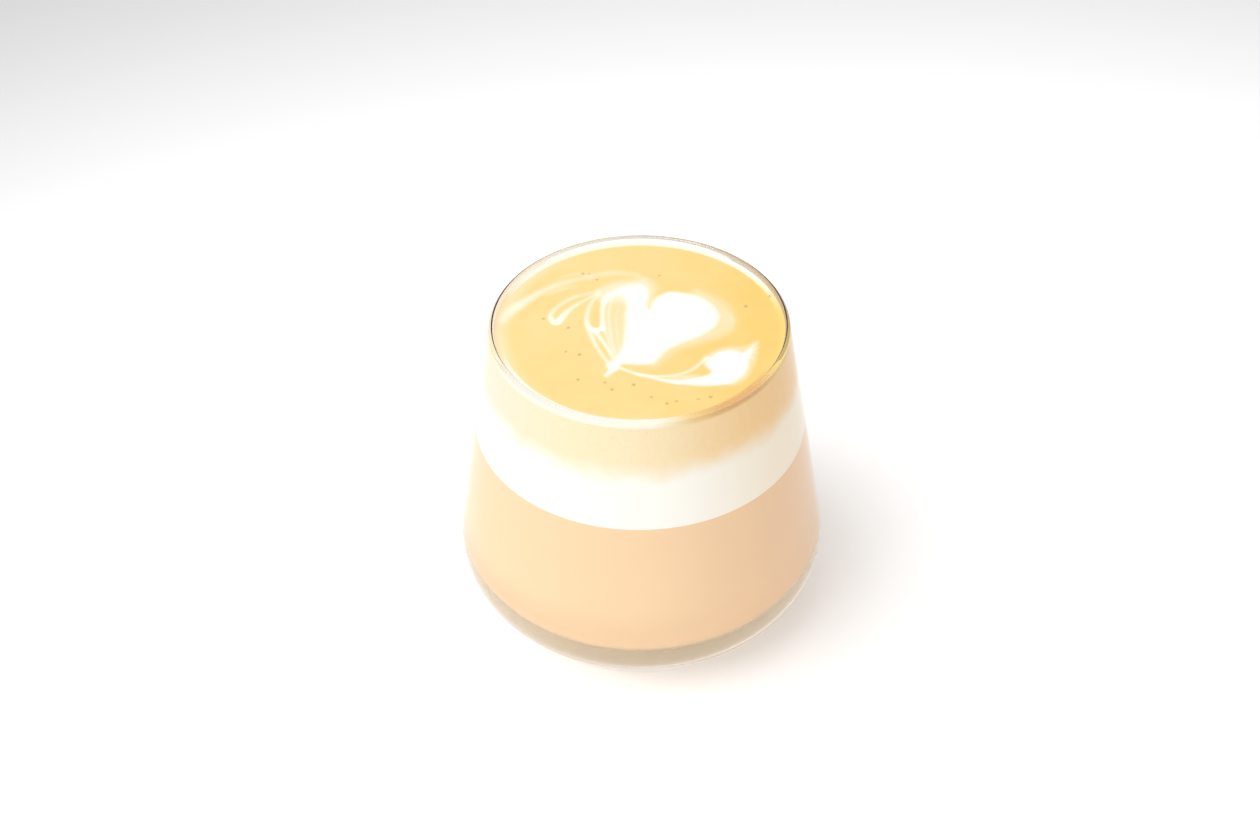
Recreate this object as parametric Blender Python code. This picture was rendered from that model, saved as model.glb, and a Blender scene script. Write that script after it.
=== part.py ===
"""A flat white in a clear tumbler that widens from its rim down to a round belly.

Below the belly the glass tapers in to a flat base, and its floor is thick. The
drink stands in three layers that show through the wall: milky coffee, white
milk foam and golden crema. The white pour on top is set into the crema.
The origin is the middle of the flat base, +Z is up, and the pour faces -Y.
"""

import math

import bmesh
import bpy
from mathutils import Vector

# driving dimensions, in metres and degrees
GLASS_HEIGHT = 0.0840
RIM_RADIUS = 0.0365
WALL_LEAN = 9.05
SHOULDER_HEIGHT = 0.0212
BELLY_CURVE = 0.0172
BELLY_TAPER = 38.0
HEEL = 0.0010
RIM_WALL = 0.0013
SHOULDER_WALL = 0.0022
FLOOR_HEIGHT = 0.0104
INNER_CORNER = 0.0160
COFFEE_LEVEL = 0.0535
FOAM_LEVEL = 0.0691
DRINK_LEVEL = 0.0820
MENISCUS_RISE = 0.0006
MENISCUS_WIDTH = 0.0020
POUR_DEPTH = 0.0012
GAP = 0.0003
SIDES = 72
CORNER_STEPS = 10
HEEL_STEPS = 3
BELLY_LOW_STEPS = 6
BELLY_HIGH_STEPS = 2
RIM_STEPS = 4
MENISCUS_STEPS = 4
MM = 0.001

# the white pour on the crema, seen from above, in millimetres
HEART = [
    (2.6, 9.4), (4.4, 12.4), (7.2, 14.8), (11.1, 14.4), (15.0, 12.6),
    (18.3, 9.5), (19.6, 5.1), (18.6, 0.4), (15.5, -3.6), (11.1, -5.8),
    (6.9, -8.3), (4.0, -12.4), (0.8, -13.7), (-2.9, -13.9), (-5.6, -15.8),
    (-8.6, -18.6), (-8.1, -13.4), (-10.0, -9.3), (-11.7, -4.8),
    (-13.1, -0.1), (-13.4, 4.6), (-12.6, 9.3), (-10.4, 12.4),
    (-7.2, 15.2), (-3.3, 17.4), (0.3, 18.0), (2.0, 14.6),
]
HEART_EYES = [
    [(-11.4, 9.2), (-9.8, 9.6), (-9.3, 5.8), (-9.9, 1.8), (-11.5, 2.4)],
    [(-6.6, 10.8), (-4.8, 11.6), (-3.7, 8.2), (-4.1, 1.0), (-5.2, -6.4),
     (-6.4, -6.6), (-7.2, 0.4), (-7.5, 7.2)],
]
LEAF = [
    (5.6, -19.6), (9.6, -17.4), (12.6, -15.6), (14.8, -12.7), (17.3, -9.7),
    (20.7, -7.6), (24.0, -7.7), (27.6, -6.6), (27.2, -10.8), (25.3, -15.8),
    (22.4, -19.6), (18.1, -21.6), (13.5, -22.1), (9.3, -21.5),
]
LEAF_EYES = [
    [(11.9, -18.5), (13.6, -16.9), (15.5, -15.2), (16.5, -16.8), (15.1, -18.3)],
]
SWEEP = [
    (-31.0, 7.2), (-27.0, 12.6), (-23.4, 16.0), (-19.2, 19.0), (-14.8, 20.9),
    (-9.8, 22.2), (-4.7, 22.4), (0.3, 21.0),
]
HOOK = [
    (-21.0, 5.4), (-20.2, 2.8), (-18.6, 4.9), (-16.1, 9.0), (-13.4, 12.1),
]
SWEEP_WIDTH = 1.5
HOOK_WIDTH = 1.3


def clear_scene():
    for item in list(bpy.data.objects):
        bpy.data.objects.remove(item, do_unlink=True)


def finish(name, colour, roughness, transmission=0.0):
    material = bpy.data.materials.new(name)
    material.use_nodes = True
    shader = material.node_tree.nodes["Principled BSDF"]
    shader.inputs["Base Color"].default_value = (*colour, 1.0)
    shader.inputs["Roughness"].default_value = roughness
    shader.inputs["Metallic"].default_value = 0.0
    shader.inputs["Transmission Weight"].default_value = transmission
    return material


def arc(centre_r, centre_z, radius, start, end, steps):
    """Points (radius, height) along an arc of the glass's section."""
    points = []
    for step in range(steps + 1):
        angle = start + (end - start) * step / steps
        points.append((centre_r + radius * math.cos(angle), centre_z + radius * math.sin(angle)))
    return points


def outer_wall():
    """The glass's outline from the edge of its flat base up to the shoulder, as (radius, height).

    A small round heel and a straight taper lead into the belly. Its arc has a
    point at its widest place, and ends where the straight wall starts.
    """
    lean, taper = math.radians(WALL_LEAN), math.radians(BELLY_TAPER)
    shoulder = RIM_RADIUS + (GLASS_HEIGHT - SHOULDER_HEIGHT) * math.tan(lean)
    belly_r = shoulder - BELLY_CURVE * math.cos(lean)
    belly_z = SHOULDER_HEIGHT - BELLY_CURVE * math.sin(lean)
    heel_in = BELLY_CURVE - HEEL - (belly_z - HEEL) * math.sin(taper)
    heel_r = belly_r + heel_in / math.cos(taper)
    return (
        arc(heel_r, HEEL, HEEL, -math.pi / 2, -taper, HEEL_STEPS)
        + arc(belly_r, belly_z, BELLY_CURVE, -taper, 0.0, BELLY_LOW_STEPS)
        + arc(belly_r, belly_z, BELLY_CURVE, 0.0, lean, BELLY_HIGH_STEPS)[1:]
    )


def inner_slope():
    """How far the inside widens for each metre down. The wall thickens from its rim to the shoulder."""
    depth = GLASS_HEIGHT - SHOULDER_HEIGHT
    return math.tan(math.radians(WALL_LEAN)) - (SHOULDER_WALL - RIM_WALL) / depth


def inner_radius(height):
    return RIM_RADIUS - RIM_WALL + inner_slope() * (GLASS_HEIGHT - height)


def inner_corner(shrink):
    """The rounded inside corner from the floor's edge up to the straight wall, moved in by shrink."""
    angle = math.atan(inner_slope())
    corner_top = FLOOR_HEIGHT + INNER_CORNER * (1.0 + math.sin(angle))
    corner_r = inner_radius(corner_top) - INNER_CORNER * math.cos(angle)
    corner_z = FLOOR_HEIGHT + INNER_CORNER
    return arc(corner_r, corner_z, INNER_CORNER - shrink, -math.pi / 2, angle, CORNER_STEPS)


def add_object(name, mesh_data, material, smooth_angle=35.0):
    mesh = bpy.data.meshes.new(name)
    bmesh.ops.recalc_face_normals(mesh_data, faces=mesh_data.faces)
    mesh_data.to_mesh(mesh)
    mesh_data.free()
    mesh.materials.append(material)
    mesh.shade_smooth()
    mesh.set_sharp_from_angle(angle=math.radians(smooth_angle))
    item = bpy.data.objects.new(name, mesh)
    bpy.context.collection.objects.link(item)
    return item


def turned(name, profile, material):
    """A closed turned solid from a profile that starts and ends on the axis."""
    shape = bmesh.new()
    corners = [shape.verts.new((radius, 0.0, height)) for radius, height in profile]
    edges = [shape.edges.new(pair) for pair in zip(corners, corners[1:])]
    bmesh.ops.spin(
        shape, geom=corners + edges, cent=(0, 0, 0), axis=(0, 0, 1),
        angle=2 * math.pi, steps=SIDES, use_merge=True, use_duplicate=False,
    )
    bmesh.ops.remove_doubles(shape, verts=shape.verts, dist=1e-6)
    return add_object(name, shape, material)


def smooth_curve(points, closed, steps=3):
    """More points along a smooth curve through the given ones, in metres."""
    count = len(points)
    curve = []
    spans = count if closed else count - 1
    for index in range(spans):
        if closed:
            around = [points[(index + shift) % count] for shift in (-1, 0, 1, 2)]
        else:
            around = [points[min(max(index + shift, 0), count - 1)] for shift in (-1, 0, 1, 2)]
        before, start, end, after = (Vector(point) for point in around)
        for step in range(steps):
            t = step / steps
            curve.append(0.5 * MM * (
                2 * start + (end - before) * t
                + (2 * before - 5 * start + 4 * end - after) * t * t
                + (3 * start - before - 3 * end + after) * t ** 3
            ))
    if not closed:
        curve.append(Vector(points[-1]) * MM)
    return curve


def area(outline):
    return 0.5 * sum(a.cross(b) for a, b in zip(outline, outline[1:] + outline[:1]))


def grown(outline, amount):
    """A closed outline moved outwards by amount, or inwards where it is negative."""
    turn = 1.0 if area(outline) > 0 else -1.0
    moved = []
    for before, here, after in zip(outline[-1:] + outline[:-1], outline, outline[1:] + outline[:1]):
        along = (after - before).normalized()
        moved.append(here + turn * amount * Vector((along.y, -along.x)))
    return moved


def band(points, width):
    """The closed outline of a band that narrows to half its width at both ends."""
    centre = smooth_curve(points, closed=False)
    left, right = [], []
    for index, here in enumerate(centre):
        before, after = centre[max(index - 1, 0)], centre[min(index + 1, len(centre) - 1)]
        along = (after - before).normalized()
        share = index / (len(centre) - 1)
        half = 0.5 * width * MM * (0.5 + 0.5 * math.sin(math.pi * share))
        side = Vector((along.y, -along.x)) * half
        left.append(here + side)
        right.append(here - side)
    return left + right[::-1]


def slab(name, outline, eyes, low, high, material):
    """A flat piece with straight sides between two heights, open at its eyes."""
    shape = bmesh.new()
    for loop in [outline] + eyes:
        corners = [shape.verts.new((point.x, point.y, low)) for point in loop]
        for pair in zip(corners, corners[1:] + corners[:1]):
            shape.edges.new(pair)
    bmesh.ops.triangle_fill(shape, use_beauty=True, edges=shape.edges[:])
    pushed = bmesh.ops.extrude_face_region(shape, geom=shape.faces[:])
    top = [part for part in pushed["geom"] if isinstance(part, bmesh.types.BMVert)]
    bmesh.ops.translate(shape, verts=top, vec=(0, 0, high - low))
    return add_object(name, shape, material)


def carve(body, cutter):
    """Cuts a pocket. The exact solver loses the whole body on the small pockets, so this one is used."""
    cutter.hide_render = True
    cutter.display_type = "WIRE"
    cut = body.modifiers.new(cutter.name, "BOOLEAN")
    cut.operation = "DIFFERENCE"
    cut.solver = "MANIFOLD"
    cut.object = cutter


def make_tumbler():
    lip = RIM_WALL / 2
    lean = math.radians(WALL_LEAN)
    rim = arc(RIM_RADIUS - lip, GLASS_HEIGHT - lip, lip, lean, math.pi - lean, RIM_STEPS)
    inside = inner_corner(0.0)[::-1]
    profile = [(0.0, 0.0)] + outer_wall() + rim + inside + [(0.0, FLOOR_HEIGHT)]
    return turned("tumbler", profile, finish("clear_glass", (0.96, 0.98, 0.97), 0.02, 1.0))


def make_coffee():
    side = (inner_radius(COFFEE_LEVEL) - GAP, COFFEE_LEVEL - GAP / 2)
    corner = inner_corner(GAP)
    profile = [(0.0, FLOOR_HEIGHT + GAP)] + corner + [side, (0.0, COFFEE_LEVEL - GAP / 2)]
    return turned("milky_coffee", profile, finish("milky_coffee", (0.85, 0.62, 0.42), 0.3))


def make_foam():
    low, high = COFFEE_LEVEL + GAP / 2, FOAM_LEVEL - GAP / 2
    profile = [
        (0.0, low), (inner_radius(low) - GAP, low),
        (inner_radius(high) - GAP, high), (0.0, high),
    ]
    return turned("milk_foam", profile, finish("milk_foam", (0.97, 0.94, 0.88), 0.5))


def make_crema():
    low, edge = FOAM_LEVEL + GAP / 2, DRINK_LEVEL + MENISCUS_RISE
    rim = inner_radius(edge) - GAP
    profile = [(0.0, low), (inner_radius(low) - GAP, low), (rim, edge)]
    for step in range(1, MENISCUS_STEPS + 1):
        share = step / MENISCUS_STEPS
        profile.append((rim - MENISCUS_WIDTH * share, DRINK_LEVEL + MENISCUS_RISE * (1 - share) ** 2))
    profile.append((0.0, DRINK_LEVEL))
    return turned("crema", profile, finish("crema", (0.87, 0.62, 0.27), 0.45))


def pour(name, outline, eyes, crema, white):
    """One white shape, flush with the crema in a pocket of its own shape."""
    top = DRINK_LEVEL
    slab(name, outline, eyes, top - POUR_DEPTH, top, white)
    pegs = [grown(eye, -GAP) for eye in eyes]
    pocket = slab(name + "_pocket", grown(outline, GAP), pegs, top - POUR_DEPTH - GAP, top + GAP, white)
    carve(crema, pocket)


def make_pour(crema):
    white = finish("poured_milk", (0.98, 0.95, 0.88), 0.4)
    heart_eyes = [smooth_curve(eye, closed=True) for eye in HEART_EYES]
    leaf_eyes = [smooth_curve(eye, closed=True) for eye in LEAF_EYES]
    pour("heart_pour", smooth_curve(HEART, closed=True), heart_eyes, crema, white)
    pour("leaf_pour", smooth_curve(LEAF, closed=True), leaf_eyes, crema, white)
    pour("sweep_pour", band(SWEEP, SWEEP_WIDTH), [], crema, white)
    pour("hook_pour", band(HOOK, HOOK_WIDTH), [], crema, white)


clear_scene()
make_tumbler()
make_coffee()
make_foam()
make_pour(make_crema())
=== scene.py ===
import math

import bpy
import numpy as np
from mathutils import Matrix, Vector


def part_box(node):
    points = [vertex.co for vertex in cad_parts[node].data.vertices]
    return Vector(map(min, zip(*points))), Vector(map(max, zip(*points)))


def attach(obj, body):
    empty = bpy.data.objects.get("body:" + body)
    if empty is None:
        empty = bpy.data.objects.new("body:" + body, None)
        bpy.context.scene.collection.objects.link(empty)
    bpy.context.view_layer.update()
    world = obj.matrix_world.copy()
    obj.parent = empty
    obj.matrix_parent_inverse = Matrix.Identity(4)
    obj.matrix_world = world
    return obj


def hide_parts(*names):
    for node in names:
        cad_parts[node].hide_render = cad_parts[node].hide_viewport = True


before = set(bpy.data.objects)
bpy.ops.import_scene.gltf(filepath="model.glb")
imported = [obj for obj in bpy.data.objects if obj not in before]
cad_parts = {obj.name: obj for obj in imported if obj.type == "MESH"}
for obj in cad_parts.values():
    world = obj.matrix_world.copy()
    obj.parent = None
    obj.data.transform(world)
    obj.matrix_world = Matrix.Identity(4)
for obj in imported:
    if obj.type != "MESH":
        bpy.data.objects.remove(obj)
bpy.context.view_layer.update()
MM = 0.001

# Camera
# A 60 mm lens about half a metre off, looking down over the rim at 41 degrees.
# It is turned by just under a degree, so the right side sits slightly higher.
AIM = Vector((-2.6, 0.0, 53.1)) * MM
CAMERA_DISTANCE = 527.0 * MM
CAMERA_ELEVATION = math.radians(40.85)
CAMERA_ROLL = math.radians(0.89)
bpy.ops.object.camera_add()
camera = bpy.context.object
camera.name = "camera"
camera.data.lens = 60.0
camera.data.sensor_width = 36.0
camera.data.clip_start = 0.01
stand = AIM + CAMERA_DISTANCE * Vector((0.0, -math.cos(CAMERA_ELEVATION), math.sin(CAMERA_ELEVATION)))
camera.matrix_world = (
    Matrix.Translation(stand)
    @ Matrix.Rotation(math.pi / 2 - CAMERA_ELEVATION, 4, "X")
    @ Matrix.Rotation(-CAMERA_ROLL, 4, "Z")
)
bpy.context.scene.camera = camera

# Table and light
# A white sheet lies under the glass and runs out of sight. Daylight fills the
# room from the left and from behind the camera, and a soft lamp stands above.
TABLE_SIZE = 6.0
LIT_MIDDLE = (0.1, -0.2, 0.0)
LIT_REACH = 0.34
DIM_FROM = 0.67
SHEET_NEAR = (0.97, 0.97, 0.97)
SHEET_PAINTED_DIM = (0.55, 0.55, 0.55)
ROOM_BRIGHT = 1.17
ROOM_DIM = 0.485
BRIGHT_SIDE = Vector((-0.75, -0.35, 0.55)).normalized()
FACING_DIM = -0.6
FACING_BRIGHT = 0.9
LAMP_PLACE = Vector((-0.36, -0.16, 0.95))
LAMP_SIZE = 0.45
LAMP_POWER = 3.5


class Wire:
    """An output of a material's nodes, so that shader maths reads as plain arithmetic."""

    def __init__(self, finish, socket):
        self.finish = finish
        self.socket = socket

    def maths(self, operation, *values):
        sockets = dict(enumerate((self,) + values))
        return self.finish.node("Math", {"operation": operation}, sockets)

    def __add__(self, other):
        return self.maths("ADD", other)

    def __sub__(self, other):
        return self.maths("SUBTRACT", other)

    def __mul__(self, other):
        return self.maths("MULTIPLY", other)

    def __rsub__(self, other):
        return self.finish.node("Math", {"operation": "SUBTRACT"}, {0: other, 1: self})

    __radd__ = __add__
    __rmul__ = __mul__

    def above(self, low, high, bottom=0.0, top=1.0):
        """The bottom value at low, the top value at high, and a smooth step between, either way round."""
        settings = {"interpolation_type": "SMOOTHSTEP"}
        sockets = {"Value": self, "From Min": low, "From Max": high, "To Min": bottom, "To Max": top}
        return self.finish.node("MapRange", settings, sockets)


class Finish:
    """A material or the room's light, and the nodes that it is made of."""

    def __init__(self, name, owner=None, shader="Principled BSDF"):
        self.material = owner or bpy.data.materials.new(name)
        self.material.use_nodes = True
        self.nodes = self.material.node_tree.nodes
        self.links = self.material.node_tree.links
        self.shader = self.nodes[shader]

    def join(self, value, socket):
        if isinstance(value, Wire):
            self.links.new(value.socket, socket)
        elif isinstance(value, tuple) and len(value) == 3 and socket.type == "RGBA":
            socket.default_value = (*value, 1.0)
        else:
            socket.default_value = value

    def node(self, kind, settings=(), sockets=(), output=0):
        made = self.nodes.new("ShaderNode" + kind)
        for name, value in dict(settings).items():
            setattr(made, name, value)
        for name, value in dict(sockets).items():
            self.join(value, made.inputs[name])
        return Wire(self, made.outputs[output])

    def place(self):
        return self.node("TexCoord", output="Object")

    def height(self):
        return self.node("SeparateXYZ", (), {"Vector": self.place()}, "Z")

    def across(self):
        return self.node("SeparateXYZ", (), {"Vector": self.place()}, "X")

    def noise(self, scale, detail=2.0, roughness=0.5):
        sockets = {"Vector": self.place(), "Scale": scale, "Detail": detail, "Roughness": roughness}
        return self.node("TexNoise", (), sockets, "Fac")

    def cells(self, scale):
        return self.node("TexVoronoi", (), {"Vector": self.place(), "Scale": scale}, "Distance")

    def mix(self, share, first, second):
        return self.node("Mix", {"data_type": "RGBA"}, {0: share, 6: first, 7: second}, 2)

    def bump(self, height, strength, distance):
        return self.node("Bump", (), {"Height": height, "Strength": strength, "Distance": distance})

    def set(self, **sockets):
        for name, value in sockets.items():
            self.join(value, self.shader.inputs[name.replace("_", " ")])
        return self.material


bpy.ops.object.select_all(action="DESELECT")
bpy.ops.mesh.primitive_plane_add(size=TABLE_SIZE)
table = bpy.context.object
table.name = "table"
paper = Finish("white_sheet")
# The sheet's colour is painted darker away from a lit middle, as painted fall-off of the light.
away = paper.node("VectorMath", {"operation": "DISTANCE"}, {0: paper.place(), 1: LIT_MIDDLE}, "Value")
paper.set(Base_Color=paper.mix(away.above(LIT_REACH, DIM_FROM), SHEET_NEAR, SHEET_PAINTED_DIM), Roughness=0.9)
table.data.materials.append(paper.material)

world = bpy.data.worlds.new("room")
bpy.context.scene.world = world
room = Finish("room", world, "Background")
facing = room.node("VectorMath", {"operation": "DOT_PRODUCT"}, {0: room.place(), 1: BRIGHT_SIDE}, "Value")
strength = facing.above(FACING_DIM, FACING_BRIGHT, ROOM_DIM, ROOM_BRIGHT)
room.set(Color=(1.0, 1.0, 1.0), Strength=strength)

bpy.ops.object.light_add(type="AREA", location=LAMP_PLACE)
lamp = bpy.context.object
lamp.name = "lamp"
lamp.data.size = LAMP_SIZE
lamp.data.energy = LAMP_POWER
lamp.rotation_euler = (AIM - LAMP_PLACE).to_track_quat("-Z", "Y").to_euler()

bpy.context.scene.view_settings.view_transform = "Standard"
bpy.context.scene.cycles.max_bounces = 20
bpy.context.scene.cycles.diffuse_bounces = 9
bpy.context.scene.cycles.glossy_bounces = 6
bpy.context.scene.cycles.transmission_bounces = 16

# Tumbler
# Pressed clear glass, thin at the rim and thick in the base. The outside leans
# out from the rim to a shoulder, turns in a round belly and tapers to its foot.
GLASS_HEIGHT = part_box("tumbler")[1].z
RIM_RADIUS = 36.5 * MM
WALL_LEAN = math.radians(9.05)
SHOULDER_HEIGHT = 21.2 * MM
BELLY_CURVE = 17.2 * MM
BELLY_TAPER = math.radians(38.0)
HEEL = 1.0 * MM
RIM_WALL = 1.3 * MM
SHOULDER_WALL = 2.2 * MM
FLOOR_HEIGHT = 10.4 * MM
INNER_CORNER = 16.0 * MM
STAND_RING = 3.0 * MM
RECESS = 0.4 * MM
ROUND_STEPS = 256


def arc(radius, height, curve, start, end, steps):
    """Points (radius, height) along an arc, with its centre's radius and height first."""
    turns = [start + (end - start) * step / steps for step in range(steps + 1)]
    return [(radius + curve * math.cos(turn), height + curve * math.sin(turn)) for turn in turns]


def turn(name, profile, steps=ROUND_STEPS):
    """Draws an outline by extruding one point after another, and spins it into a closed piece."""
    bpy.ops.object.select_all(action="DESELECT")
    bpy.ops.mesh.primitive_plane_add(size=MM)
    piece = bpy.context.object
    piece.name = piece.data.name = name
    bpy.ops.object.mode_set(mode="EDIT")
    bpy.ops.mesh.merge(type="CENTER")
    bpy.ops.transform.translate(value=(profile[0][0], 0.0, profile[0][1]))
    for (radius, height), (next_radius, next_height) in zip(profile, profile[1:]):
        step = {"value": (next_radius - radius, 0.0, next_height - height)}
        bpy.ops.mesh.extrude_vertices_move(TRANSFORM_OT_translate=step)
    bpy.ops.mesh.select_all(action="SELECT")
    bpy.ops.mesh.spin(steps=steps, angle=2 * math.pi, center=(0, 0, 0), axis=(0, 0, 1))
    bpy.ops.mesh.select_all(action="SELECT")
    bpy.ops.mesh.remove_doubles(threshold=1e-6)
    bpy.ops.mesh.normals_make_consistent(inside=False)
    bpy.ops.object.mode_set(mode="OBJECT")
    bpy.ops.object.shade_smooth_by_angle(angle=math.radians(40))
    return piece


inner_slope = math.tan(WALL_LEAN) - (SHOULDER_WALL - RIM_WALL) / (GLASS_HEIGHT - SHOULDER_HEIGHT)
inner_lean = math.atan(inner_slope)


def inside(height):
    """The radius of the glass's straight inner wall at a height."""
    return RIM_RADIUS - RIM_WALL + inner_slope * (GLASS_HEIGHT - height)


corner_top = FLOOR_HEIGHT + INNER_CORNER * (1.0 + math.sin(inner_lean))
corner_radius = inside(corner_top) - INNER_CORNER * math.cos(inner_lean)
corner_height = FLOOR_HEIGHT + INNER_CORNER
shoulder = RIM_RADIUS + (GLASS_HEIGHT - SHOULDER_HEIGHT) * math.tan(WALL_LEAN)
belly_radius = shoulder - BELLY_CURVE * math.cos(WALL_LEAN)
belly_height = SHOULDER_HEIGHT - BELLY_CURVE * math.sin(WALL_LEAN)
heel_in = BELLY_CURVE - HEEL - (belly_height - HEEL) * math.sin(BELLY_TAPER)
heel_radius = belly_radius + heel_in / math.cos(BELLY_TAPER)
ring_radius = heel_radius - STAND_RING
lip = RIM_WALL / 2
tumbler = turn(
    "glass_tumbler",
    [(0.0, RECESS), (ring_radius - 2 * RECESS, RECESS), (ring_radius, 0.0)]
    + arc(heel_radius, HEEL, HEEL, -math.pi / 2, -BELLY_TAPER, 6)
    + arc(belly_radius, belly_height, BELLY_CURVE, -BELLY_TAPER, 0.0, 24)
    + arc(belly_radius, belly_height, BELLY_CURVE, 0.0, WALL_LEAN, 6)[1:]
    + arc(RIM_RADIUS - lip, GLASS_HEIGHT - lip, lip, WALL_LEAN, math.pi - inner_lean, 14)
    + arc(corner_radius, corner_height, INNER_CORNER, inner_lean, -math.pi / 2, 32)
    + [(0.0, FLOOR_HEIGHT)],
)
clear = Finish("clear_glass")
mould = clear.noise(60.0, 1.0)
clear.set(
    Base_Color=(0.985, 0.992, 0.988),
    Roughness=0.0,
    IOR=1.5,
    Transmission_Weight=1.0,
    Normal=clear.bump(mould, 0.05, 0.2 * MM),
)
# Soft light passes straight through the glass, so that the drink inside it is lit as in the photo.
see_through = clear.node("BsdfTransparent")
in_shadow = clear.node("LightPath", output="Is Shadow Ray")
scattered = clear.node("LightPath", output="Is Diffuse Ray")
glass = Wire(clear, clear.shader.outputs[0])
glass = clear.node("MixShader", (), {0: in_shadow, 1: glass, 2: see_through})
glass = clear.node("MixShader", (), {0: scattered, 1: glass, 2: see_through})
clear.join(glass, clear.nodes["Material Output"].inputs["Surface"])
tumbler.data.materials.append(clear.material)
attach(tumbler, "root")
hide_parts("tumbler")

# Milky coffee
# The lowest layer: espresso stirred through hot milk, opaque and light tan.
# It reaches just into the wall, so that no air shows between drink and glass.
INTO_WALL = 0.15 * MM
COFFEE_LEVEL = 53.5 * MM
PALE_BELOW = 11.8 * MM
TAN_ABOVE = 13.0 * MM
LINE_LOW = 13.5 * MM
LINE_TOP = 14.7 * MM
LINE_STRENGTH = 0.6
LEFT_TANS = ((0.86, 0.58, 0.325), (0.89, 0.61, 0.35))
SHADED_RIGHT_TANS = ((0.84, 0.53, 0.295), (0.87, 0.56, 0.32))
BROWN_SHADE_LINE = (0.50, 0.33, 0.19)
PALE_TAN = (0.98, 0.87, 0.70)
coffee = turn(
    "milky_coffee_layer",
    [(0.0, FLOOR_HEIGHT - INTO_WALL)]
    + arc(corner_radius, corner_height, INNER_CORNER + INTO_WALL, -math.pi / 2, inner_lean, 32)
    + [(inside(COFFEE_LEVEL) + INTO_WALL, COFFEE_LEVEL), (0.0, COFFEE_LEVEL)],
)
latte = Finish("milky_coffee")
clouds = latte.noise(45.0, 3.0)
left_tan = latte.mix(clouds, *LEFT_TANS)
shaded_right_tan = latte.mix(clouds, *SHADED_RIGHT_TANS)
# The coffee is painted darker towards the right: painted shade on the side away from the light.
tan = latte.mix(latte.across().above(0.0, 40.0 * MM), left_tan, shaded_right_tan)
# A thin brown line of painted shade marks the lower edge.
tan = latte.mix(latte.height().above(LINE_TOP, LINE_LOW) * LINE_STRENGTH, tan, BROWN_SHADE_LINE)
# The paler underside is painted light, standing for light from the thick base.
tan = latte.mix(latte.height().above(PALE_BELOW, TAN_ABOVE), PALE_TAN, tan)
latte.set(Base_Color=tan, Roughness=0.35)
coffee.data.materials.append(latte.material)
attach(coffee, "root")
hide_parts("milky_coffee")

# Milk foam
# The white middle layer. Fine dense foam has floated up out of the coffee,
# with a sharp border below and a blurred one under the crema.
FOAM_LEVEL = 69.1 * MM
BLUR_LOW = 65.2 * MM
BLUR_HIGH = 72.8 * MM
DRINK_LEVEL = 82.0 * MM
WHITE = (0.93, 0.90, 0.82)
CREAM = (0.95, 0.80, 0.60)
PALE_GOLDS = ((0.87, 0.71, 0.42), (0.91, 0.76, 0.49))
DEEP_GOLDS = ((0.89, 0.54, 0.205), (0.93, 0.60, 0.26))
LIT_LEFT_CREAM = (0.92, 0.70, 0.54)
SPECK_BROWN = (0.70, 0.42, 0.17)
foam = turn(
    "milk_foam_layer",
    [
        (0.0, COFFEE_LEVEL),
        (inside(COFFEE_LEVEL) + INTO_WALL, COFFEE_LEVEL),
        (inside(FOAM_LEVEL) + INTO_WALL, FOAM_LEVEL),
        (0.0, FOAM_LEVEL),
    ],
)


def side_colour(finish):
    """White foam low down, blurring up into pale gold, and all of it warmer towards the right."""
    right = finish.across()
    wander = (finish.noise(140.0, 3.0) - 0.5) * (5.0 * MM)
    share = (finish.height() + wander).above(BLUR_LOW, BLUR_HIGH)
    milky = finish.mix(right.above(5.0 * MM, 42.0 * MM), WHITE, CREAM)
    grains = finish.noise(700.0, 2.0)
    pale_gold = finish.mix(grains, *PALE_GOLDS)
    deep_gold = finish.mix(grains, *DEEP_GOLDS)
    # The gold is painted paler towards the left and deeper towards the right: painted light from the left.
    gold = finish.mix(right.above(-5.0 * MM, 34.0 * MM), pale_gold, deep_gold)
    gold = finish.mix(right.above(-42.0 * MM, -10.0 * MM), LIT_LEFT_CREAM, gold)
    specks = finish.cells(800.0).above(0.26, 0.10) * finish.height().above(BLUR_HIGH, DRINK_LEVEL)
    return finish.mix(share, milky, finish.mix(specks * 0.25, gold, SPECK_BROWN))


froth = Finish("milk_foam")
froth.set(Base_Color=side_colour(froth), Roughness=0.5)
foam.data.materials.append(froth.material)
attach(foam, "root")
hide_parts("milk_foam")

# Crema and pour
# Golden foam fills the last stretch to just under the rim. White foam was
# poured into it and drawn out into a heart, a leaf and thin trailing lines.
MENISCUS_RISE = 0.6 * MM
MENISCUS_WIDTH = 2.0 * MM
RING_STEP = 0.30 * MM
CREMA_STEPS = 448
crema_edge = inside(DRINK_LEVEL + MENISCUS_RISE) + INTO_WALL
rings = int(crema_edge / RING_STEP)
top = []
for ring in range(rings):
    radius = crema_edge * (1.0 - ring / rings)
    climb = max(0.0, 1.0 - (crema_edge - radius) / MENISCUS_WIDTH)
    top.append((radius, DRINK_LEVEL + MENISCUS_RISE * climb ** 2))
side_heights = (FOAM_LEVEL, DRINK_LEVEL - 2.5 * MM, DRINK_LEVEL - 1.0 * MM, DRINK_LEVEL - 0.3 * MM)
crema = turn(
    "crema_layer",
    [(0.0, FOAM_LEVEL)]
    + [(inside(height) + INTO_WALL, height) for height in side_heights]
    + top
    + [(0.0, DRINK_LEVEL)],
    CREMA_STEPS,
)
spots = np.empty(len(crema.data.vertices) * 3)
crema.data.vertices.foreach_get("co", spots)
spots = spots.reshape(-1, 3)
on_top = spots[:, 2] > DRINK_LEVEL - 0.5 * MM
seen = spots[:, :2] / MM


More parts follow.
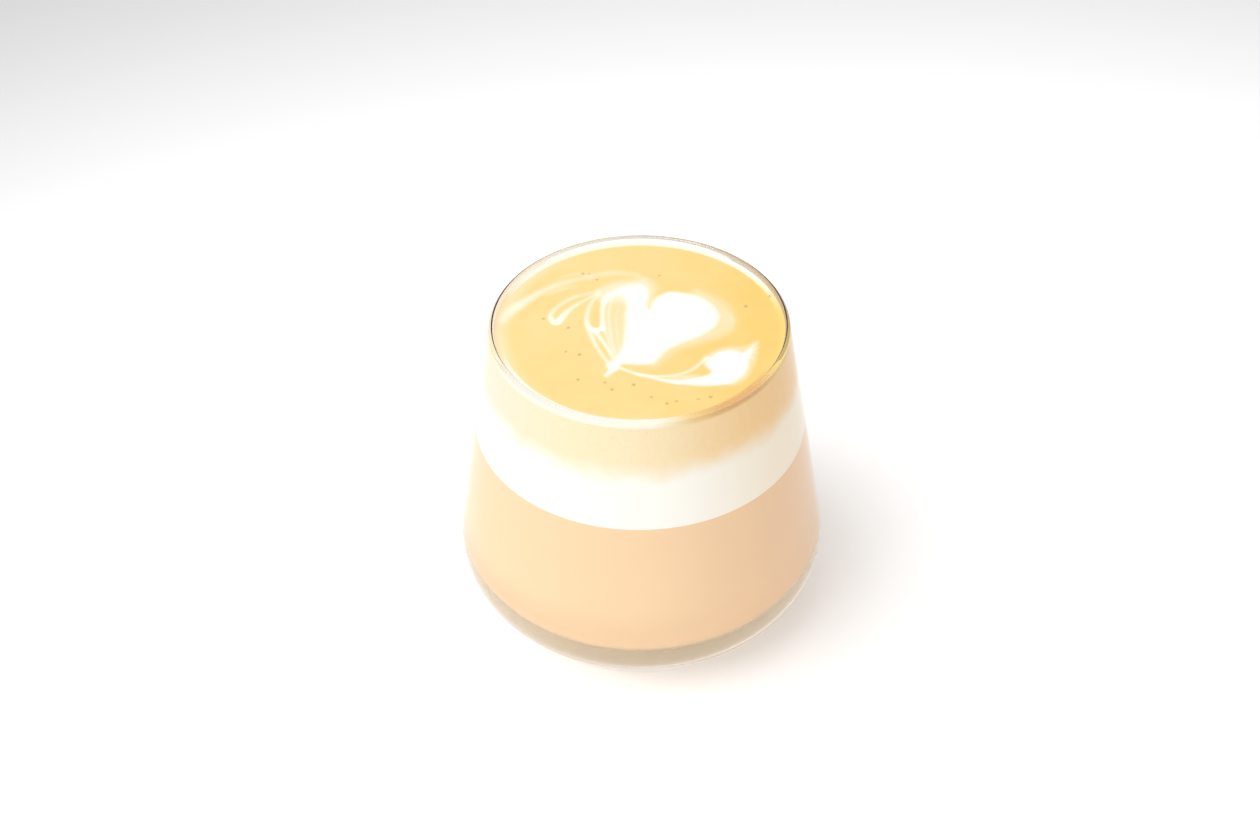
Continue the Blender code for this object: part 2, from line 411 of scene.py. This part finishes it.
def smooth_line(points, closed=False, steps=6):
    """A smooth curve through given points, as short straight steps."""
    points = np.array(points, float)
    ends = (points[-1:], points[:2]) if closed else (points[:1], points[-1:])
    padded = np.concatenate([ends[0], points, ends[1]])
    share = np.linspace(0, 1, steps, endpoint=False)[:, None]
    line = []
    for before, start, end, after in zip(padded, padded[1:], padded[2:], padded[3:]):
        line.append(0.5 * (
            2 * start + (end - before) * share
            + (2 * before - 5 * start + 4 * end - after) * share ** 2
            + (3 * start - before - 3 * end + after) * share ** 3
        ))
    line.append(padded[-2:-1])
    return np.concatenate(line)


def near(line, reach):
    """The numbers of the spots that lie within reach of the box round a line."""
    within = (seen > line.min(axis=0) - reach) & (seen < line.max(axis=0) + reach)
    return np.flatnonzero(within.all(axis=1) & on_top)


def nearest(line, some):
    """Some spots' distance to a line, in millimetres, and how far along it that is, from 0 to 1."""
    best = np.full(len(some), 1e9)
    along = np.zeros(len(some))
    count = len(line) - 1
    for index, (start, end) in enumerate(zip(line, line[1:])):
        run = end - start
        part = np.clip((seen[some] - start) @ run / max(run @ run, 1e-12), 0, 1)
        gap = np.hypot(*(seen[some] - start - part[:, None] * run).T)
        closer = gap < best
        best[closer] = gap[closer]
        along[closer] = (index + part[closer]) / count
    return best, along


def inside_of(line, some):
    """Which of some spots lie inside a closed line."""
    within = np.zeros(len(some), bool)
    across, up = seen[some].T
    for (x0, y0), (x1, y1) in zip(line, line[1:]):
        if y0 != y1:
            crosses = (y0 > up) != (y1 > up)
            within ^= crosses & (across < x0 + (up - y0) * (x1 - x0) / (y1 - y0))
    return within


def soft_step(value):
    """0 at 0 and below, 1 at 1 and above, and a smooth step between."""
    value =np.clip(value, 0, 1)
    return value * value * (3 - 2 * value)


milk = np.zeros(len(seen))


def draw(points, width, strength, soft):
    """Draws a poured line: its width in millimetres and its strength may change from start to end."""
    line = smooth_line(points)
    some = near(line, np.max(width) + soft)
    gap, along = nearest(line, some)
    half = np.interp(along, np.linspace(0, 1, np.size(width)), np.atleast_1d(width)) / 2
    power = np.interp(along, np.linspace(0, 1, np.size(strength)), np.atleast_1d(strength))
    milk[some] += (1.0 - milk[some]) * power * soft_step((half + soft - gap) / (2 * soft))


def flood(points, strength, soft):
    """Fills a closed shape with poured milk; its edge is soft over that many millimetres each way."""
    line = smooth_line(points, closed=True)
    some = near(line, soft)
    gap = nearest(line, some)[0]
    depth = np.where(inside_of(line, some), gap, -gap)
    milk[some] += (1.0 - milk[some]) * strength * soft_step(0.5 + depth / (2 * soft))


# the pour, in millimetres from the middle: first faint clouds of milk round the heart and the leaf
flood([(-10.5, 14.5), (-6.5, 18.5), (-1.0, 20.0), (3.2, 19.0), (3.8, 14.0), (2.0, 9.0), (-4.0, 11.0),
       (-9.0, 12.0)], 0.45, 1.8)
flood([(13.0, 14.5), (17.5, 13.3), (21.0, 10.3), (22.8, 5.5), (22.8, 1.0), (20.5, -2.5), (15.0, -5.5),
       (9.0, -8.0), (5.5, -11.5), (3.0, -13.8), (8.0, -3.0)], 0.32, 1.9)
flood([(-8.3, 12.0), (-8.4, 4.0), (-8.0, -3.0), (-6.6, -9.0), (-4.6, -9.0), (-3.4, 0.0), (-2.8, 10.0),
       (-5.0, 13.0)], 0.2, 1.0)
flood([(15.0, -12.5), (18.0, -8.6), (22.0, -7.2), (25.5, -7.0), (28.2, -5.4), (27.9, -9.5), (26.8, -14.5),
       (24.5, -19.5), (20.0, -21.0)], 0.35, 1.0)
# the long sweeps at the upper left, and the hook
draw([(-33.1, 4.6), (-31.3, 7.9), (-28.5, 11.3), (-24.6, 15.2), (-20.7, 18.0), (-16.3, 20.1), (-11.8, 21.5)],
     (2.4, 2.8, 2.0, 1.5, 1.2), (0.35, 0.65, 0.45, 0.45, 0.25), 1.1)
draw([(-11.8, 21.5), (-8.3, 22.7), (-4.2, 22.8), (-0.7, 21.9), (1.8, 20.0)], 1.6, (0.25, 0.3, 0.2), 1.1)
draw([(-19.8, 20.8), (-16.3, 22.6), (-12.3, 22.7)], 0.9, (0.1, 0.25, 0.1), 0.9)
draw([(-22.6, 14.4), (-19.2, 16.5), (-15.7, 17.9)], 1.2, (0.1, 0.3, 0.1), 0.9)
draw([(-19.6, 10.7), (-16.1, 13.2), (-11.7, 14.9), (-8.0, 17.2)], 1.0, (0.1, 0.3, 0.3, 0.1), 0.8)
draw([(-15.0, 13.6), (-18.3, 11.2), (-20.8, 8.2), (-21.6, 5.6), (-20.9, 3.6), (-19.9, 3.2), (-19.0, 4.8),
      (-17.2, 8.0), (-14.8, 10.6), (-12.2, 12.8), (-9.5, 15.5)],
     (0.8, 0.9, 1.1, 1.7, 1.9, 1.3, 0.9, 0.8), (0.2, 0.4, 0.5, 0.8, 0.9, 0.75, 0.55, 0.45, 0.3), 0.55)
# the heart: its white body, and the fine loops of its left lobe
HEART = [
    (2.6, 8.0), (3.6, 11.0), (5.4, 13.4), (8.0, 14.6), (11.5, 14.0), (15.2, 12.2), (18.0, 9.0), (19.3, 5.2),
    (18.6, 1.6), (16.0, -1.6), (12.8, -3.8), (9.2, -5.8), (6.2, -8.2), (4.4, -11.0), (2.8, -13.0),
    (-0.5, -13.3), (-4.2, -13.0), (-5.3, -15.0), (-6.6, -15.2), (-7.9, -13.6), (-6.6, -11.6), (-5.0, -9.2),
    (-3.9, -5.0), (-3.5, 0.0), (-3.2, 6.0), (-3.0, 11.0), (-4.2, 13.4), (-6.4, 13.2), (-8.4, 10.8),
    (-9.0, 11.6), (-7.9, 13.8), (-5.5, 16.0), (-2.4, 17.6), (0.4, 17.9), (1.9, 16.0), (2.2, 12.5),
    (1.8, 10.0),
]
flood(HEART, 1.0, 1.0)
draw([(22.3, 6.0), (22.6, 3.0), (22.2, -0.5)], 0.8, (0.1, 0.3, 0.1), 0.6)
draw([(-9.5, 14.6), (-11.6, 11.0), (-12.6, 6.5), (-12.6, 2.0), (-11.4, -3.0), (-9.9, -7.6), (-8.2, -11.2),
      (-7.0, -13.2)], (0.9, 1.1, 1.0, 0.8), (0.3, 0.5, 0.65, 0.5, 0.6), 0.55)
draw([(-8.5, 11.2), (-8.9, 8.0), (-8.9, 4.0), (-8.9, 0.8)],
     (1.3, 1.0, 1.0, 1.4), (0.85, 0.7, 0.75, 0.9), 0.5)
draw([(-12.6, 3.0), (-12.0, 1.0), (-10.6, 0.0), (-8.8, 0.6)],
     (0.8, 1.2, 1.6, 1.4), (0.5, 0.75, 0.9, 0.85), 0.5)
draw([(-10.8, 0.0), (-9.4, -3.2), (-7.8, -6.8), (-6.4, -10.6)], (1.2, 0.9, 0.9), (0.85, 0.7, 0.7), 0.5)
draw([(-8.6, 0.4), (-7.6, -4.0), (-6.4, -8.5)], 0.6, (0.6, 0.4, 0.4), 0.45)
draw([(-6.6, 12.2), (-7.3, 8.0), (-7.4, 3.0), (-6.9, -2.0), (-6.2, -7.0), (-5.6, -10.0)],
     0.6, (0.3, 0.45, 0.45, 0.35), 0.45)
draw([(-5.2, 8.0), (-5.6, 3.0), (-5.2, -3.0), (-5.2, -8.0)], 0.4, (0.2, 0.35, 0.3), 0.4)
draw([(-6.3, -14.6), (-7.3, -16.2), (-8.0, -17.2)], (1.6, 1.3, 1.1), (0.95, 0.85, 0.7), 0.5)
# the leaf, and the two lines that lead from the heart's point to it
LEAF = [
    (15.5, -13.5), (17.0, -11.0), (19.0, -9.2), (21.5, -8.6), (24.0, -9.5), (25.6, -11.5), (25.3, -15.0),
    (24.0, -18.0), (22.0, -20.3), (19.0, -21.3), (15.0, -21.5), (11.0, -21.0), (8.0, -20.3), (5.0, -19.2),
    (9.0, -19.3), (13.0, -18.6), (16.0, -17.6), (17.0, -16.2), (16.2, -14.8),
]
flood(LEAF, 1.0, 0.8)
draw([(-4.6, -14.6), (-2.0, -16.2), (1.0, -17.4), (5.0, -17.9), (9.0, -17.3), (12.0, -15.8), (14.2, -13.4),
      (16.0, -11.2)], (0.7, 0.9, 0.9, 1.0), (0.75, 0.6, 0.5, 0.5, 0.6), 0.5)
draw([(-1.0, -16.9), (3.0, -18.4), (6.0, -19.5), (9.0, -20.3)], (0.7, 1.2), (0.6, 0.7, 0.9), 0.5)
draw([(7.0, -18.4), (10.5, -18.2), (13.5, -17.6)], 0.9, (0.3, 0.4, 0.2), 0.5)
for tip in ((28.4, -5.2), (28.6, -7.4), (28.0, -9.6), (27.2, -12.6)):
    halfway = (0.5 * (25.2 + tip[0]), 0.5 * (tip[1] - 10.0))
    draw([(24.6, -11.0), halfway, tip], (1.6, 0.9, 0.4), (0.8, 0.45, 0.15), 0.5)
crema.data.attributes.new("milk", "FLOAT", "POINT").data.foreach_set("value", milk)

# the crema's edge: lengths in millimetres, and bearings in degrees from the right, anticlockwise
radius_of = np.hypot(*seen.T)
below_level = (DRINK_LEVEL - spots[:, 2]) / MM
bearing = np.degrees(np.arctan2(seen[:, 1], seen[:, 0])) % 360
at_edge = soft_step((0.9 - below_level) / 0.8)
near_top = soft_step((2.5 - below_level) / 1.5)


def between(start, full, full_end, end):
    """1 where a spot's bearing lies from full to full_end, and 0 outside start to end."""
    return soft_step((bearing - start) / (full - start)) * soft_step((end - bearing) / (end - full_end))


# A white ring at the wall, left and front, is partly pale milk and partly painted light from the left.
white_ring = soft_step((radius_of - 33.1) / 0.6) * between(180, 215, 272, 292)
# A broader pale glow inside the left edge is painted light.
left_painted_light = 0.35 * soft_step((radius_of - 30.5) / 4.5) * between(110, 155, 190, 240)
# A thin pale line along the back edge is a painted highlight.
back_highlight = 0.9 * soft_step((radius_of - 34.0) / 0.6) * between(5, 40, 140, 175) * near_top
pale = np.maximum(np.maximum(white_ring, left_painted_light) * at_edge, back_highlight)
crema.data.attributes.new("pale", "FLOAT", "POINT").data.foreach_set("value", pale)
# The darker orange band at the right-front edge is painted shade near the wall.
right_edge_shade = soft_step((radius_of - 33.2) / 0.6) * between(284, 304, 316, 338) * on_top
crema.data.attributes.new("right_edge_shade", "FLOAT", "POINT").data.foreach_set("value", right_edge_shade)

BUBBLE_SIZES = (0.50, 0.38, 0.44, 0.34)
BUBBLES = [
    (-1.6, -20.8), (2.5, -25.4), (6.0, -27.8), (13.4, -26.4), (16.2, -25.7), (8.3, -27.0), (-14.7, -18.6),
    (-17.7, -8.1), (-14.4, -9.3), (-23.3, 4.8), (-17.2, 1.1), (-12.3, 22.7), (-13.8, 22.8), (-10.3, 20.2),
    (32.3, 12.2), (5.3, 21.6), (26.2, 8.5), (-8.3, -19.8), (-6.7, -22.4),
]
dark = np.zeros(len(seen))
for index, middle in enumerate(BUBBLES):
    size = BUBBLE_SIZES[index % len(BUBBLE_SIZES)]
    dark = np.maximum(dark, soft_step(1.3 - np.hypot(*(seen - middle).T) / size) * on_top)
crema.data.attributes.new("bubble", "FLOAT", "POINT").data.foreach_set("value", dark)

golden_foam = Finish("crema")


def painted(name):
    """One of the attributes painted on the crema, as a value in its material."""
    return golden_foam.node("Attribute", {"attribute_name": name}, (), "Fac")


LEFT_GOLDS = ((0.80, 0.575, 0.205), (0.84, 0.62, 0.25))
RIGHT_GOLDS = ((0.78, 0.525, 0.125), (0.82, 0.57, 0.165))
PATCH_GOLD = (0.86, 0.68, 0.36)
SHADE_AMBER = (0.66, 0.34, 0.12)
EDGE_WHITE_AND_LIGHT = (0.93, 0.88, 0.76)
BUBBLE_BROWN = (0.42, 0.25, 0.09)
mottle = golden_foam.noise(260.0, 4.0, 0.6)
mellow = golden_foam.mix(mottle, *LEFT_GOLDS)
deep = golden_foam.mix(mottle, *RIGHT_GOLDS)
gold = golden_foam.mix(golden_foam.across().above(-12.0 * MM, 32.0 * MM), mellow, deep)
patches = golden_foam.noise(55.0, 2.0).above(0.35, 0.75)
gold = golden_foam.mix(patches * 0.3, gold, PATCH_GOLD)
up_top = golden_foam.height().above(DRINK_LEVEL - 1.2 * MM, DRINK_LEVEL)
gold = golden_foam.mix(up_top, side_colour(golden_foam), gold)
# Painted shade: the darker orange band at the right-front edge.
gold = golden_foam.mix(painted("right_edge_shade") * 0.8, gold, SHADE_AMBER)
# The pale edge paint holds milk at the wall, painted light and a painted highlight.
gold = golden_foam.mix(painted("pale"), gold, EDGE_WHITE_AND_LIGHT)
gold = golden_foam.mix(painted("bubble") * 0.75, gold, BUBBLE_BROWN)
milk_share = painted("milk")
ragged = (golden_foam.noise(500.0, 3.0) - 0.5) * 0.8
poured = golden_foam.mix(milk_share + ragged * milk_share * (1.0 - milk_share), gold, WHITE)
fine_bubbles = golden_foam.cells(2600.0)
golden_foam.set(
    Base_Color=poured,
    Roughness=0.42,
    Normal=golden_foam.bump(fine_bubbles, 0.15, 0.05 * MM),
)
crema.data.materials.append(golden_foam.material)
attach(crema, "root")
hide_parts("crema", "heart_pour", "leaf_pour", "sweep_pour", "hook_pour")
